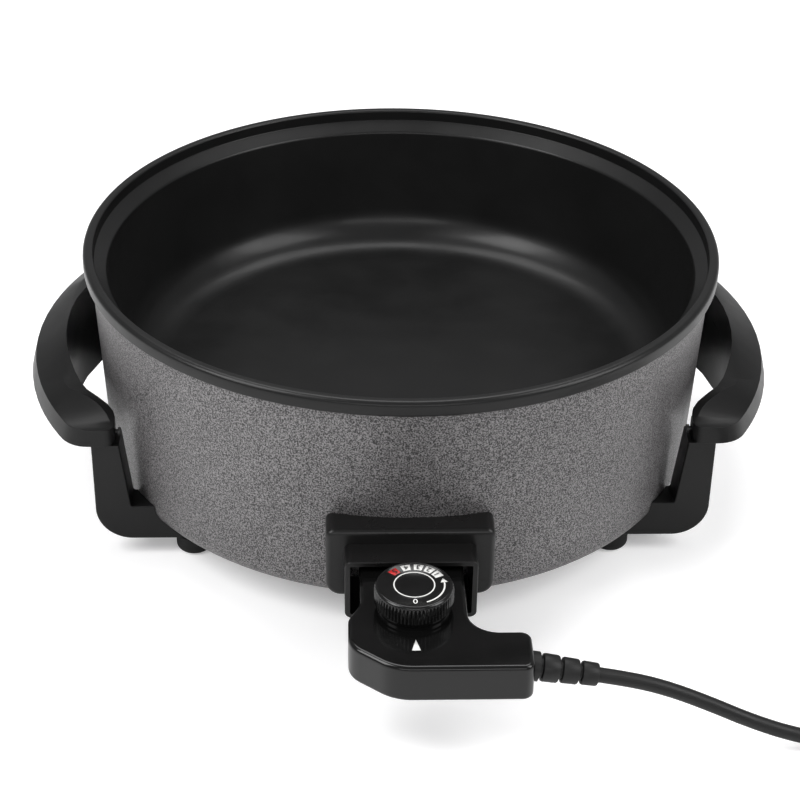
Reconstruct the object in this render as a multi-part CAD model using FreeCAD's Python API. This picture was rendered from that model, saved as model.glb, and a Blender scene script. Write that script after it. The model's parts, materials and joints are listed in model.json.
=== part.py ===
import FreeCAD, Part
import math
import os

# Electric skillet, in millimetres. +Z is up, the feet stand on z = 0 and the plug-in controller faces -Y.
# The model is built about the pan's axis, and it is moved along Y at the end so that the origin
# is the middle of its base.

# Pan: rim, lid seat, wall and floor
RIM_RADIUS = 200.0
RIM_HEIGHT = 166.0
RIM_ROUND = 3.0
BAND_HEIGHT = 9.0
LID_SEAT_RADIUS = 193.5
LID_SEAT_DEPTH = 7.5
LEDGE_WIDTH = 8.0
LEDGE_DROP = 6.0
PAN_WALL = 3.0
PAN_DRAFT = 8.0
PAN_CORNER = 28.0
PAN_DEPTH = 96.0
PAN_FLOOR_WALL = 4.0

# Outer shell, base cover and the stud that clamps them
SHELL_WALL = 1.5
SHELL_DRAFT = 6.5
SHELL_CORNER = 14.0
SHELL_BASE_HEIGHT = 20.0
BASE_HOLE_RADIUS = 120.0
BASE_COVER_LAP = 10.0
BASE_COVER_WALL = 1.5
STUD_RADIUS = 3.0
NUT_RADIUS = 6.0
NUT_HEIGHT = 5.0
STUD_PROUD = 2.0

# Heater, terminals and probe well
PIN_HEIGHT = 56.5
PIN_SPACING = 30.0
PIN_RADIUS = 2.5
PIN_INNER_END = 170.0
PIN_OUTER_END = 219.0
ELEMENT_RADIUS = 4.0
ELEMENT_RING = 105.0
ELEMENT_BEND = 20.0
HEAT_PLATE_RADIUS = 140.0
CLAMP_COUNT = 3
CLAMP_LENGTH = 26.0
CLAMP_WIDTH = 12.0
CLAMP_WALL = 1.5
BUSH_RADIUS = 5.5
BUSH_FLANGE_RADIUS = 7.0
BUSH_FLANGE = 3.0
BUSH_LENGTH = 16.0
WELL_WALL = 0.8
WELL_END = 104.0
WELL_MOUTH = 197.0
SOCKET_PLATE_Y = 182.0
SOCKET_PLATE_WALL = 1.5
SOCKET_PLATE_WIDTH = 66.0
SOCKET_PLATE_TOP = 72.0
SOCKET_PLATE_FOOT = 20.0
SOCKET_PLATE_STEP = 18.0
SOCKET_PLATE_INSET = 16.0
SHELL_SLOT_WIDTH = 50.0
SHELL_SLOT_HEIGHT = 22.0

# Socket guard
GUARD_WIDTH = 97.0
GUARD_TOP = 84.0
GUARD_BOTTOM = 38.0
GUARD_FRONT = 205.5
GUARD_WALL = 3.0
GUARD_ROUND = 3.0
GUARD_TOP_CORNER = 5.0
GUARD_BOTTOM_CORNER = 9.0
HOOD_WIDTH = 75.6
HOOD_TOP = 75.0
HOOD_BOTTOM = 35.5
HOOD_FRONT = 223.0
HOOD_WALL = 3.0
HOOD_CORNER = 4.0
GUARD_BOSS_RADIUS = 3.4
GUARD_SCREW_SPACING = 81.0

# Handles, legs and feet
HANDLE_REACH = 237.5
HANDLE_OUTER_RADIUS = 225.0
HANDLE_INNER_RADIUS = 165.0
HANDLE_GRIP_WIDTH = 23.0
HANDLE_HALF_LENGTH = 114.0
HANDLE_BOTTOM = 81.0
HANDLE_LIP = 11.0
HANDLE_CREST = 106.0
HANDLE_CREST_HALF = 84.0
HANDLE_WALL_WALL = 4.0
HANDLE_WALL_FRONT = 78.0
HANDLE_WALL_BACK = 91.5
HANDLE_WALL_FRONT_DROP = 34.0
HANDLE_WALL_BACK_DROP = 44.0
HANDLE_END_CORNER = 20.0
HANDLE_INNER_CORNER = 6.0
LEG_FRONT = 111.5
LEG_DEPTH = 19.0
LEG_OUTER = 190.5
LEG_TOP_WIDTH = 17.0
LEG_BASE_WIDTH = 22.0
LEG_UNDERSIDE = 12.0
LEG_BAR_TOP = 36.0
LEG_CORNER = 22.0
LEG_EDGE = 1.0
TENON_INSET = 3.0
TENON_HEIGHT = 9.0
FOOT_X = 131.0
FOOT_Y = 102.5
FOOT_RADIUS = 11.5
FOOT_ROUND = 4.0
SCREW_RADIUS = 2.0
SCREW_HEAD_RADIUS = 3.8
SCREW_HEAD = 2.4
FOOT_COUNTERBORE = 6.0
NUT_PLATE = 12.0
NUT_PLATE_WALL = 2.5
SCREW_PAST_NUT = 3.0

# Plug-in controller
CASE_TOP = 68.0
CASE_BOTTOM = 45.0
CASE_WALL = 2.2
CASE_EDGE = 2.5
NECK_WIDTH = 59.0
NECK_FACE = 203.0
CASE_LEFT = 36.5
CASE_RIGHT = 63.0
CASE_FRONT = 307.5
ARM_DEPTH = 31.5
CASE_BOSS_RADIUS = 3.3
CASE_SCREW_RADIUS = 1.4
CASE_SCREW_HEAD_RADIUS = 2.6
CASE_SCREW_HEAD = 1.6
CASE_SCREW_PLACES = [(-27.0, -279.0), (40.0, -281.5), (23.0, -236.0), (-23.0, -236.0)]
BLOCK_WIDTH = 46.0
BLOCK_DEPTH = 16.0
CLIP_WALL = 1.0
PROBE_RADIUS = 3.0
PROBE_TIP = 112.0
PROBE_TAIL = 226.0

# Dial and thermostat
DIAL_Y = 255.0
DIAL_TOP = 84.0
DIAL_SKIRT = 11.6
DIAL_RADIUS = 23.2
DIAL_FLUTES = 54
DIAL_FLUTE_DEPTH = 0.7
DIAL_TOP_EDGE = 1.0
DIAL_TOP_WALL = 2.5
DIAL_SKIRT_WALL = 2.6
DIAL_HUB_RADIUS = 6.5
COLLAR_RADIUS = 20.4
COLLAR_BORE = 9.0
COLLAR_HEIGHT = 3.6
SHAFT_RADIUS = 3.0
SHAFT_BASE_GAP = 0.3
CAM_RADIUS = 8.0
CAM_OFFSET = 2.5
CAM_HEIGHT = 3.5
CAM_GAP_BELOW_CASE = 3.0
THERMOSTAT_LENGTH = 34.0
THERMOSTAT_WIDTH = 22.0
THERMOSTAT_FLOOR = 2.0
BLADE_LENGTH = 26.0
BLADE_WIDTH = 5.0
BLADE_WALL = 0.6
BLADE_POST = 5.0

# Cord, strain relief, coil, tie and plug
CORD_RADIUS = 4.25
RELIEF_Y = 292.0
RELIEF_LENGTH = 36.0
RELIEF_DROOP = 10.6
RELIEF_BASE_RADIUS = 8.2
RELIEF_TIP_RADIUS = 5.6
RELIEF_GROOVES = 3
RELIEF_GROOVE_DEPTH = 1.2
RELIEF_FLANGE_RADIUS = 9.6
RELIEF_FLANGE = 2.0
CORD_CLAMP_LENGTH = 8.0
CORD_CLAMP_HEIGHT = 3.0
CORD_ROUTE = [
    (119.0, -292.0, 45.9), (141.0, -292.6, 38.8), (163.0, -293.5, 28.9), (184.0, -294.5, 18.6),
    (206.0, -296.0, 10.4), (228.0, -297.8, 6.0), (248.5, -299.3, 4.5), (269.5, -299.8, 5.15)]
COIL_X = 300.0
COIL_Y = -244.0
COIL_OUTER = 55.0
COIL_STEP = 9.2
COIL_LAYER = 9.2
COIL_TURNS = 1.875
COIL_LIFT = 0.9
TAIL_LENGTH = 46.0
TIE_ANGLE = 180.0
TIE_WIDTH = 9.0
TIE_WALL = 0.7
TIE_GAP = 0.15
PLUG_AXIS_HEIGHT = 18.5
PLUG_RADIUS = 18.5
PLUG_LENGTH = 34.0
PLUG_NECK_LENGTH = 22.0
PLUG_NECK_RADIUS = 5.6
PLUG_PIN_RADIUS = 2.4
PLUG_PIN_LENGTH = 19.0
PLUG_PIN_SPACING = 19.0

# Clearances between pieces that meet or pass through each other
SLIP = 0.05
LOOSE = 0.3
TOUCH_GAP = 0.2

Z_AXIS = FreeCAD.Vector(0, 0, 1)
ORIGIN = FreeCAD.Vector(0, 0, 0)


def vec(x, y, z):
    return FreeCAD.Vector(x, y, z)


def rounded_wire(corners, place):
    """A closed wire of lines and tangent arcs; corners are (a, b) or (a, b, radius)."""
    count = len(corners)
    starts = []
    ends = []
    arcs = []
    for i in range(count):
        here = FreeCAD.Vector(corners[i][0], corners[i][1], 0)
        back = FreeCAD.Vector(corners[i - 1][0], corners[i - 1][1], 0) - here
        ahead = FreeCAD.Vector(corners[(i + 1) % count][0], corners[(i + 1) % count][1], 0) - here
        radius = corners[i][2] if len(corners[i]) > 2 else 0.0
        if radius == 0.0:
            starts.append(here)
            ends.append(here)
            arcs.append(None)
            continue
        half = back.getAngle(ahead) / 2.0
        cut = radius / math.tan(half)
        back.normalize()
        ahead.normalize()
        middle = (back + ahead).normalize()
        starts.append(here + back * cut)
        ends.append(here + ahead * cut)
        arcs.append(here + middle * (radius / math.sin(half) - radius))
    edges = []
    for i in range(count):
        if arcs[i] is not None:
            edges.append(Part.Arc(place(starts[i]), place(arcs[i]), place(ends[i])).toShape())
        following = (i + 1) % count
        if ends[i].distanceToPoint(starts[following]) > 1e-6:
            edges.append(Part.LineSegment(place(ends[i]), place(starts[following])).toShape())
    return Part.Wire(edges)


def turned(corners):
    """Solid of revolution about Z from a profile of (radius, height) corners."""
    wire = rounded_wire(corners, lambda p: vec(p.x, 0, p.y))
    return Part.Face(wire).revolve(ORIGIN, Z_AXIS, 360)


def plate_xy(corners, low, high):
    """Plan outline raised from height low to height high."""
    wire = rounded_wire(corners, lambda p: vec(p.x, p.y, low))
    return Part.Face(wire).extrude(vec(0, 0, high - low))


def plate_xz(corners, front, back):
    """Front outline of (x, z) corners, carried from y = front to y = back."""
    wire = rounded_wire(corners, lambda p: vec(p.x, front, p.y))
    return Part.Face(wire).extrude(vec(0, back - front, 0))


def box(low, high):
    return Part.makeBox(high[0] - low[0], high[1] - low[1], high[2] - low[2], vec(*low))


def rod_z(radius, x, y, low, high):
    return Part.makeCylinder(radius, high - low, vec(x, y, low))


def rod_y(radius, x, z, front, back):
    return Part.makeCylinder(radius, back - front, vec(x, front, z), vec(0, 1, 0))


def mirrored(shape, normal):
    return shape.mirror(ORIGIN, normal)


def four_ways(shape):
    """The front right piece and its three mirror images, with their names."""
    across = mirrored(shape, vec(1, 0, 0))
    return {
        "front_right": shape,
        "front_left": across,
        "rear_right": mirrored(shape, vec(0, 1, 0)),
        "rear_left": mirrored(across, vec(0, 1, 0)),
    }


def rectangle(half_width, low, high, low_corner=0.0, high_corner=0.0):
    return [(-half_width, low, low_corner), (half_width, low, low_corner),
            (half_width, high, high_corner), (-half_width, high, high_corner)]


# Heights and radii that follow from the driving sizes
band_base = RIM_HEIGHT - BAND_HEIGHT
seat_floor = RIM_HEIGHT - LID_SEAT_DEPTH
shoulder_radius = LID_SEAT_RADIUS - LEDGE_WIDTH
shoulder_height = seat_floor - LEDGE_DROP
pan_floor = RIM_HEIGHT - PAN_DEPTH
pan_underside = pan_floor - PAN_FLOOR_WALL
web_radius = LID_SEAT_RADIUS + LOOSE
shell_top_radius = web_radius + LOOSE + SHELL_WALL
shell_base_radius = shell_top_radius - SHELL_DRAFT
shell_inside = SHELL_BASE_HEIGHT + SHELL_WALL
heat_plate_underside = PIN_HEIGHT + ELEMENT_RADIUS + TOUCH_GAP
well_bore = PROBE_RADIUS + LOOSE
well_radius = well_bore + WELL_WALL
front_reach = -CASE_FRONT
shift_to_base_centre = -(front_reach + RIM_RADIUS) / 2.0


def shell_radius_at(height):
    """Outer radius of the shell's tapered wall at a height."""
    share = (height - SHELL_BASE_HEIGHT) / (band_base - SHELL_BASE_HEIGHT)
    return shell_base_radius + (shell_top_radius - shell_base_radius) * share


def shell_envelope(gap, base):
    """The tapered form of the outer shell above a base height, grown by a gap at its wall."""
    return turned([
        (0, base), (shell_base_radius + gap, base, SHELL_CORNER + gap),
        (shell_top_radius + gap, band_base), (0, band_base)])


def make_inner_pan():
    web_low = seat_floor - PAN_WALL
    return turned([
        (0, pan_floor),
        (shoulder_radius - PAN_DRAFT, pan_floor, PAN_CORNER),
        (shoulder_radius, shoulder_height, PAN_WALL),
        (LID_SEAT_RADIUS, seat_floor),
        (LID_SEAT_RADIUS, RIM_HEIGHT, RIM_ROUND / 2.0),
        (RIM_RADIUS, RIM_HEIGHT, RIM_ROUND),
        (RIM_RADIUS, band_base, RIM_ROUND / 3.0),
        (web_radius, band_base),
        (web_radius, web_low),
        (shoulder_radius + PAN_WALL, shoulder_height - PAN_WALL, PAN_WALL),
        (shoulder_radius + PAN_WALL - PAN_DRAFT, pan_underside, PAN_CORNER + PAN_WALL),
        (0, pan_underside)])


def make_outer_shell():
    shell = turned([
        (BASE_HOLE_RADIUS, SHELL_BASE_HEIGHT),
        (shell_base_radius, SHELL_BASE_HEIGHT, SHELL_CORNER),
        (shell_top_radius, band_base),
        (shell_top_radius - SHELL_WALL, band_base),
        (shell_base_radius - SHELL_WALL, shell_inside, SHELL_CORNER - SHELL_WALL),
        (BASE_HOLE_RADIUS, shell_inside)])
    slot = plate_xz(
        rectangle(SHELL_SLOT_WIDTH / 2.0, PIN_HEIGHT - SHELL_SLOT_HEIGHT / 2.0,
                  PIN_HEIGHT + SHELL_SLOT_HEIGHT / 2.0, 3.0, 3.0),
        -RIM_RADIUS, -SOCKET_PLATE_Y)
    shell = shell.cut(slot)
    for place in foot_places():
        shell = shell.cut(rod_z(SCREW_RADIUS + LOOSE, place[0], place[1], 0, SHELL_BASE_HEIGHT + NUT_PLATE))
    for side in (-1, 1):
        shell = shell.cut(rod_y(SCREW_RADIUS + LOOSE, side * GUARD_SCREW_SPACING / 2.0, PIN_HEIGHT,
                                -RIM_RADIUS, -SOCKET_PLATE_Y + NUT_PLATE))
    return shell


def foot_places():
    return [(sx * FOOT_X, sy * FOOT_Y) for sx in (-1, 1) for sy in (-1, 1)]


def make_base_cover():
    low = shell_inside
    disc = rod_z(BASE_HOLE_RADIUS + BASE_COVER_LAP, 0, 0, low, low + BASE_COVER_WALL)
    return disc.cut(rod_z(STUD_RADIUS + LOOSE, 0, 0, low, low + BASE_COVER_WALL))


def make_centre_stud():
    return rod_z(STUD_RADIUS, 0, 0, shell_inside - NUT_HEIGHT - STUD_PROUD, heat_plate_underside)


def make_centre_nut():
    low = shell_inside - NUT_HEIGHT
    corners = []
    for i in range(6):
        angle = math.radians(60 * i)
        corners.append((NUT_RADIUS * math.cos(angle), NUT_RADIUS * math.sin(angle)))
    nut = plate_xy(corners, low, shell_inside)
    return nut.cut(rod_z(STUD_RADIUS + SLIP, 0, 0, low, shell_inside))


def make_heat_plate():
    return rod_z(HEAT_PLATE_RADIUS, 0, 0, heat_plate_underside, pan_underside)


def element_path():
    """Ring under the plate whose two ends bend out to the front and run to the terminal pins."""
    side = PIN_SPACING / 2.0
    bend_x = side + ELEMENT_BEND
    bend_y = -math.sqrt((ELEMENT_RING + ELEMENT_BEND) ** 2 - bend_x ** 2)
    share = ELEMENT_RING / (ELEMENT_RING + ELEMENT_BEND)
    height = PIN_HEIGHT
    join_right = vec(bend_x * share, bend_y * share, height)
    join_left = vec(-bend_x * share, bend_y * share, height)
    start_angle = math.atan2(bend_y * share - bend_y, bend_x * share - bend_x)
    middle_angle = (start_angle + math.pi) / 2.0
    mid_x = ELEMENT_BEND * math.cos(middle_angle)
    mid_y = bend_y + ELEMENT_BEND * math.sin(middle_angle)
    edges = [
        Part.LineSegment(vec(side, -PIN_INNER_END, height), vec(side, bend_y, height)).toShape(),
        Part.Arc(vec(side, bend_y, height), vec(bend_x + mid_x, mid_y, height), join_right).toShape(),
        Part.Arc(join_right, vec(ELEMENT_RING, 0, height), vec(0, ELEMENT_RING, height)).toShape(),
        Part.Arc(vec(0, ELEMENT_RING, height), vec(-ELEMENT_RING, 0, height), join_left).toShape(),
        Part.Arc(join_left, vec(-bend_x - mid_x, mid_y, height), vec(-side, bend_y, height)).toShape(),
        Part.LineSegment(vec(-side, bend_y, height), vec(-side, -PIN_INNER_END, height)).toShape(),
    ]
    return Part.Wire(edges)


def make_heating_element():
    start = vec(PIN_SPACING / 2.0, -PIN_INNER_END, PIN_HEIGHT)
    section = Part.Wire([Part.Circle(start, vec(0, 1, 0), ELEMENT_RADIUS).toShape()])
    return element_path().makePipeShell([section], True, False)


def make_element_clamps():
    """Saddles that hold the ring up against the plate."""
    clamps = []
    hold = ELEMENT_RADIUS + SLIP
    low = PIN_HEIGHT - hold - CLAMP_WALL
    ring = Part.makeTorus(ELEMENT_RING, hold, vec(0, 0, PIN_HEIGHT))
    for i in range(CLAMP_COUNT):
        block = box((ELEMENT_RING - CLAMP_LENGTH / 2.0, -CLAMP_WIDTH / 2.0, low),
                    (ELEMENT_RING + CLAMP_LENGTH / 2.0, CLAMP_WIDTH / 2.0, heat_plate_underside))
        above = box((ELEMENT_RING - hold, -CLAMP_WIDTH, PIN_HEIGHT),
                    (ELEMENT_RING + hold, CLAMP_WIDTH, heat_plate_underside))
        block.rotate(ORIGIN, Z_AXIS, 90 + 360.0 / CLAMP_COUNT * (i - 1))
        above.rotate(ORIGIN, Z_AXIS, 90 + 360.0 / CLAMP_COUNT * (i - 1))
        clamps.append(block.cut(ring).cut(above))
    return Part.makeCompound(clamps)


def make_terminal_pins():
    pins = []
    for side in (-1, 1):
        x = side * PIN_SPACING / 2.0
        pin = rod_y(PIN_RADIUS, x, PIN_HEIGHT, -PIN_OUTER_END, -PIN_INNER_END)
        tip = Part.makeCone(0.0, PIN_RADIUS, PIN_RADIUS, vec(x, -PIN_OUTER_END - PIN_RADIUS, PIN_HEIGHT),
                            vec(0, 1, 0))
        pins.append(pin.fuse(tip))
    return Part.makeCompound(pins)


def make_terminal_bushes():
    bushes = []
    for side in (-1, 1):
        x = side * PIN_SPACING / 2.0
        front = -SOCKET_PLATE_Y - SOCKET_PLATE_WALL - BUSH_FLANGE
        bush = rod_y(BUSH_RADIUS, x, PIN_HEIGHT, front, front + BUSH_LENGTH)
        bush = bush.fuse(rod_y(BUSH_FLANGE_RADIUS, x, PIN_HEIGHT, front, front + BUSH_FLANGE))
        bushes.append(bush.cut(rod_y(PIN_RADIUS + SLIP, x, PIN_HEIGHT, front, front + BUSH_LENGTH)))
    return Part.makeCompound(bushes)


def make_socket_plate():
    """Bracket inside the shell that carries the terminals and the probe well."""
    half = SOCKET_PLATE_WIDTH / 2.0
    front = -SOCKET_PLATE_Y - SOCKET_PLATE_WALL
    back = -SOCKET_PLATE_Y
    step = shell_inside + SOCKET_PLATE_STEP
    inner = back + SOCKET_PLATE_INSET
    upright = box((-half, front, step), (half, back, SOCKET_PLATE_TOP))
    shelf = box((-half, front, step), (half, inner, step + SOCKET_PLATE_WALL))
    lower = box((-half, inner - SOCKET_PLATE_WALL, shell_inside), (half, inner, step + SOCKET_PLATE_WALL))
    foot = box((-half, inner - SOCKET_PLATE_WALL, shell_inside),
               (half, inner + SOCKET_PLATE_FOOT, shell_inside + SOCKET_PLATE_WALL))
    plate = upright.fuse([shelf, lower, foot]).removeSplitter()
    plate = plate.common(shell_envelope(-SHELL_WALL - TOUCH_GAP, shell_inside))
    for side in (-1, 1):
        plate = plate.cut(rod_y(BUSH_RADIUS + SLIP, side * PIN_SPACING / 2.0, PIN_HEIGHT, front, back))
    return plate.cut(rod_y(well_radius + SLIP, 0, PIN_HEIGHT, front, back))


def make_probe_well():
    tube = rod_y(well_radius, 0, PIN_HEIGHT, -WELL_MOUTH, -WELL_END)
    return tube.cut(rod_y(well_bore, 0, PIN_HEIGHT, -WELL_MOUTH, -WELL_END - WELL_WALL))


def make_socket_guard():
    """Frame on the shell with a hood that stands out round the controller's neck."""
    wall = GUARD_WALL
    back = -SOCKET_PLATE_Y
    frame = plate_xz(rectangle(GUARD_WIDTH / 2.0, GUARD_BOTTOM, GUARD_TOP,
                               GUARD_BOTTOM_CORNER, GUARD_TOP_CORNER), -GUARD_FRONT, back)
    rounded = [e for e in frame.Edges if all(abs(v.Y + GUARD_FRONT) < 1e-6 for v in e.Vertexes)]
    frame = frame.makeFillet(GUARD_ROUND, rounded)
    hollow = plate_xz(rectangle(GUARD_WIDTH / 2.0 - wall, GUARD_BOTTOM + wall, GUARD_TOP - wall,
                                GUARD_BOTTOM_CORNER - wall, GUARD_TOP_CORNER - wall),
                      -GUARD_FRONT + wall, back)
    sleeve = plate_xz(rectangle(HOOD_WIDTH / 2.0, HOOD_BOTTOM, HOOD_TOP, HOOD_CORNER, HOOD_CORNER),
                      -HOOD_FRONT, back)
    ends = [e for e in sleeve.Edges if all(abs(v.Y + HOOD_FRONT) < 1e-6 for v in e.Vertexes)]
    sleeve = sleeve.makeFillet(HOOD_WALL / 4.0, ends)
    mouth = plate_xz(rectangle(HOOD_WIDTH / 2.0 - HOOD_WALL, HOOD_BOTTOM + HOOD_WALL, HOOD_TOP - HOOD_WALL,
                               HOOD_WALL / 3.0, HOOD_WALL / 3.0), -HOOD_FRONT, back)
    guard = frame.cut(hollow).fuse(sleeve).cut(mouth)
    for side in (-1, 1):
        boss = rod_y(GUARD_BOSS_RADIUS, side * GUARD_SCREW_SPACING / 2.0, PIN_HEIGHT,
                     -GUARD_FRONT + wall / 2.0, back)
        guard = guard.fuse(boss)
    guard = guard.cut(shell_envelope(TOUCH_GAP, SHELL_BASE_HEIGHT))
    for side in (-1, 1):
        hole = rod_y(SCREW_RADIUS, side * GUARD_SCREW_SPACING / 2.0, PIN_HEIGHT, -GUARD_FRONT + wall, back)
        guard = guard.cut(hole)
    return guard.removeSplitter()


def make_guard_screws():
    """Screws from inside the shell into the guard's bosses."""
    x = GUARD_SCREW_SPACING / 2.0
    reach = math.sqrt((shell_radius_at(PIN_HEIGHT) - SHELL_WALL) ** 2 - (x + SCREW_HEAD_RADIUS) ** 2)
    under_head = -reach + TOUCH_GAP
    screws = []
    for side in (-1, 1):
        shank = rod_y(SCREW_RADIUS, side * x, PIN_HEIGHT, -GUARD_FRONT + GUARD_WALL, under_head)
        head = rod_y(SCREW_HEAD_RADIUS, side * x, PIN_HEIGHT, under_head, under_head + SCREW_HEAD)
        screws.append(shank.fuse(head))
    return Part.makeCompound(screws)


def leg_lines():
    """Inner side of the leg at the bar and at the handle."""
    return LEG_OUTER - LEG_BASE_WIDTH, LEG_OUTER - LEG_TOP_WIDTH


def make_leg():
    inner_low, inner_high = leg_lines()
    tip = FOOT_X - FOOT_RADIUS
    leg = plate_xz([
        (LEG_OUTER, HANDLE_BOTTOM), (inner_high, HANDLE_BOTTOM), (inner_low, LEG_BAR_TOP, 2.0),
        (tip, LEG_BAR_TOP), (tip, LEG_UNDERSIDE), (LEG_OUTER, LEG_UNDERSIDE, LEG_CORNER)],
        -LEG_FRONT, -LEG_FRONT + LEG_DEPTH)
    front = [e for e in leg.Edges if all(abs(v.Y + LEG_FRONT) < 1e-6 for v in e.Vertexes)
             and max(v.Z for v in e.Vertexes) < HANDLE_BOTTOM + 1e-6
             and min(v.Z for v in e.Vertexes) < HANDLE_BOTTOM - 1e-6]
    leg = leg.makeFillet(LEG_EDGE, front)
    leg = leg.cut(shell_envelope(TOUCH_GAP, SHELL_BASE_HEIGHT))
    leg = leg.fuse(tenon(0.0))
    return leg.cut(rod_z(SCREW_RADIUS + SLIP, FOOT_X, -FOOT_Y, LEG_UNDERSIDE, SHELL_BASE_HEIGHT))


def tenon(gap):
    """Tongue of the leg that fills a pocket in the handle."""
    inner_high = leg_lines()[1]
    return box((inner_high + TENON_INSET - gap, -LEG_FRONT + TENON_INSET - gap, HANDLE_BOTTOM),
               (LEG_OUTER - TENON_INSET + gap, -LEG_FRONT + LEG_DEPTH - TENON_INSET + gap,
                HANDLE_BOTTOM + TENON_HEIGHT + gap))


def make_handle():
    """Right handle: a crescent in plan with a tall inner wall, a sloping top and a low outer lip."""
    outer_centre = HANDLE_REACH - HANDLE_OUTER_RADIUS
    inner_centre = HANDLE_REACH - HANDLE_GRIP_WIDTH - HANDLE_INNER_RADIUS
    height = HANDLE_CREST - HANDLE_BOTTOM
    lip_top = HANDLE_BOTTOM + HANDLE_LIP
    outer = rod_z(HANDLE_OUTER_RADIUS, outer_centre, 0, HANDLE_BOTTOM, HANDLE_CREST)
    inner = rod_z(HANDLE_INNER_RADIUS, inner_centre, 0, HANDLE_BOTTOM, HANDLE_CREST)
    span = box((outer_centre + HANDLE_OUTER_RADIUS / 3.0, -HANDLE_HALF_LENGTH, HANDLE_BOTTOM),
               (HANDLE_REACH + height, HANDLE_HALF_LENGTH, HANDLE_CREST))
    body = outer.cut(inner).common(span)
    upright = [e for e in body.Edges if len(e.Vertexes) == 2
               and abs(e.Vertexes[0].Z - e.Vertexes[1].Z) > height / 2.0
               and abs(e.Vertexes[0].Y) > HANDLE_HALF_LENGTH - 1e-3]
    outer_ends = [e for e in upright if e.Vertexes[0].X > LEG_OUTER]
    inner_ends = [e for e in upright if e.Vertexes[0].X <= LEG_OUTER]
    body = body.makeFillet(HANDLE_END_CORNER, outer_ends)
    inner_places = [e.Vertexes[0].Point for e in inner_ends]
    matching = [e for e in body.Edges if len(e.Vertexes) == 2
                and abs(e.Vertexes[0].Z - e.Vertexes[1].Z) > height / 2.0
                and any(math.hypot(e.Vertexes[0].X - p.x, e.Vertexes[0].Y - p.y) < 1e-3 for p in inner_places)]
    body = body.makeFillet(HANDLE_INNER_CORNER, matching)
    slope = (HANDLE_CREST - lip_top) / HANDLE_GRIP_WIDTH
    cone = turned([(0, HANDLE_BOTTOM), (HANDLE_OUTER_RADIUS + height, HANDLE_BOTTOM),
                   (HANDLE_OUTER_RADIUS + height, lip_top - slope * height),
                   (HANDLE_OUTER_RADIUS - HANDLE_GRIP_WIDTH - height, HANDLE_CREST + slope * height),
                   (0, HANDLE_CREST + slope * height)])
    cone.translate(vec(outer_centre, 0, 0))
    body = body.common(cone)
    fall = handle_crown(lip_top)
    body = body.common(fall)
    for side in (1, -1):
        pocket = tenon(TOUCH_GAP)
        body = body.cut(pocket if side == 1 else mirrored(pocket, vec(0, 1, 0)))
    return body


def make_handle_wall():
    """Thin wall that hangs under the right handle's inner edge, deeper towards the back."""
    inner_centre = HANDLE_REACH - HANDLE_GRIP_WIDTH - HANDLE_INNER_RADIUS
    top = HANDLE_BOTTOM
    low = HANDLE_BOTTOM - HANDLE_WALL_BACK_DROP
    ring = rod_z(HANDLE_INNER_RADIUS + HANDLE_WALL_WALL, inner_centre, 0, low, top)
    ring = ring.cut(rod_z(HANDLE_INNER_RADIUS, inner_centre, 0, low, top))
    front = -HANDLE_WALL_FRONT
    points = [vec(0, front, top), vec(0, front * 0.5, top - HANDLE_WALL_FRONT_DROP),
              vec(0, HANDLE_WALL_BACK * 0.5, low), vec(0, HANDLE_WALL_BACK, low), vec(0, HANDLE_WALL_BACK, top),
              vec(0, front, top)]
    side_view = Part.Face(Part.makePolygon(points)).extrude(vec(HANDLE_REACH + HANDLE_LIP, 0, 0))
    return ring.common(side_view)


def handle_crown(lip_top):
    """Side view that lowers the crest towards both ends of the handle."""
    end = HANDLE_HALF_LENGTH + LOOSE
    points = [vec(0, -end, HANDLE_BOTTOM), vec(0, end, HANDLE_BOTTOM), vec(0, end, lip_top),
              vec(0, HANDLE_CREST_HALF, HANDLE_CREST), vec(0, -HANDLE_CREST_HALF, HANDLE_CREST),
              vec(0, -end, lip_top), vec(0, -end, HANDLE_BOTTOM)]
    return Part.Face(Part.makePolygon(points)).extrude(vec(HANDLE_REACH + HANDLE_LIP, 0, 0))


def make_foot():
    foot = turned([(0, 0), (FOOT_RADIUS, 0, FOOT_ROUND), (FOOT_RADIUS, LEG_UNDERSIDE), (0, LEG_UNDERSIDE)])
    foot = foot.cut(rod_z(SCREW_HEAD_RADIUS + LOOSE, 0, 0, 0, FOOT_COUNTERBORE))
    foot = foot.cut(rod_z(SCREW_RADIUS + SLIP, 0, 0, 0, LEG_UNDERSIDE))
    foot.translate(vec(FOOT_X, -FOOT_Y, 0))
    return foot


def make_leg_screws():
    screws = []
    top = shell_inside + NUT_PLATE_WALL + SCREW_PAST_NUT
    for x, y in foot_places():
        head = rod_z(SCREW_HEAD_RADIUS, x, y, FOOT_COUNTERBORE - SCREW_HEAD, FOOT_COUNTERBORE)
        screws.append(head.fuse(rod_z(SCREW_RADIUS, x, y, FOOT_COUNTERBORE, top)))
    return Part.makeCompound(screws)


def make_leg_nuts():
    """Square nuts inside the shell above each foot."""
    nuts = []
    half = NUT_PLATE / 2.0
    for x, y in foot_places():
        nut = box((x - half, y - half, shell_inside), (x + half, y + half, shell_inside + NUT_PLATE_WALL))
        nut.rotate(vec(x, y, 0), Z_AXIS, math.degrees(math.atan2(y, x)))
        nuts.append(nut.cut(rod_z(SCREW_RADIUS + SLIP, x, y, shell_inside, shell_inside + NUT_PLATE)))
    return Part.makeCompound(nuts)


def tenon_screw_line():
    """Middle of the tenon along Y and in height, and its two faces along X."""
    inner_high = leg_lines()[1]
    return -LEG_FRONT + LEG_DEPTH / 2.0, HANDLE_BOTTOM + TENON_HEIGHT / 2.0, inner_high, LEG_OUTER


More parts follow.
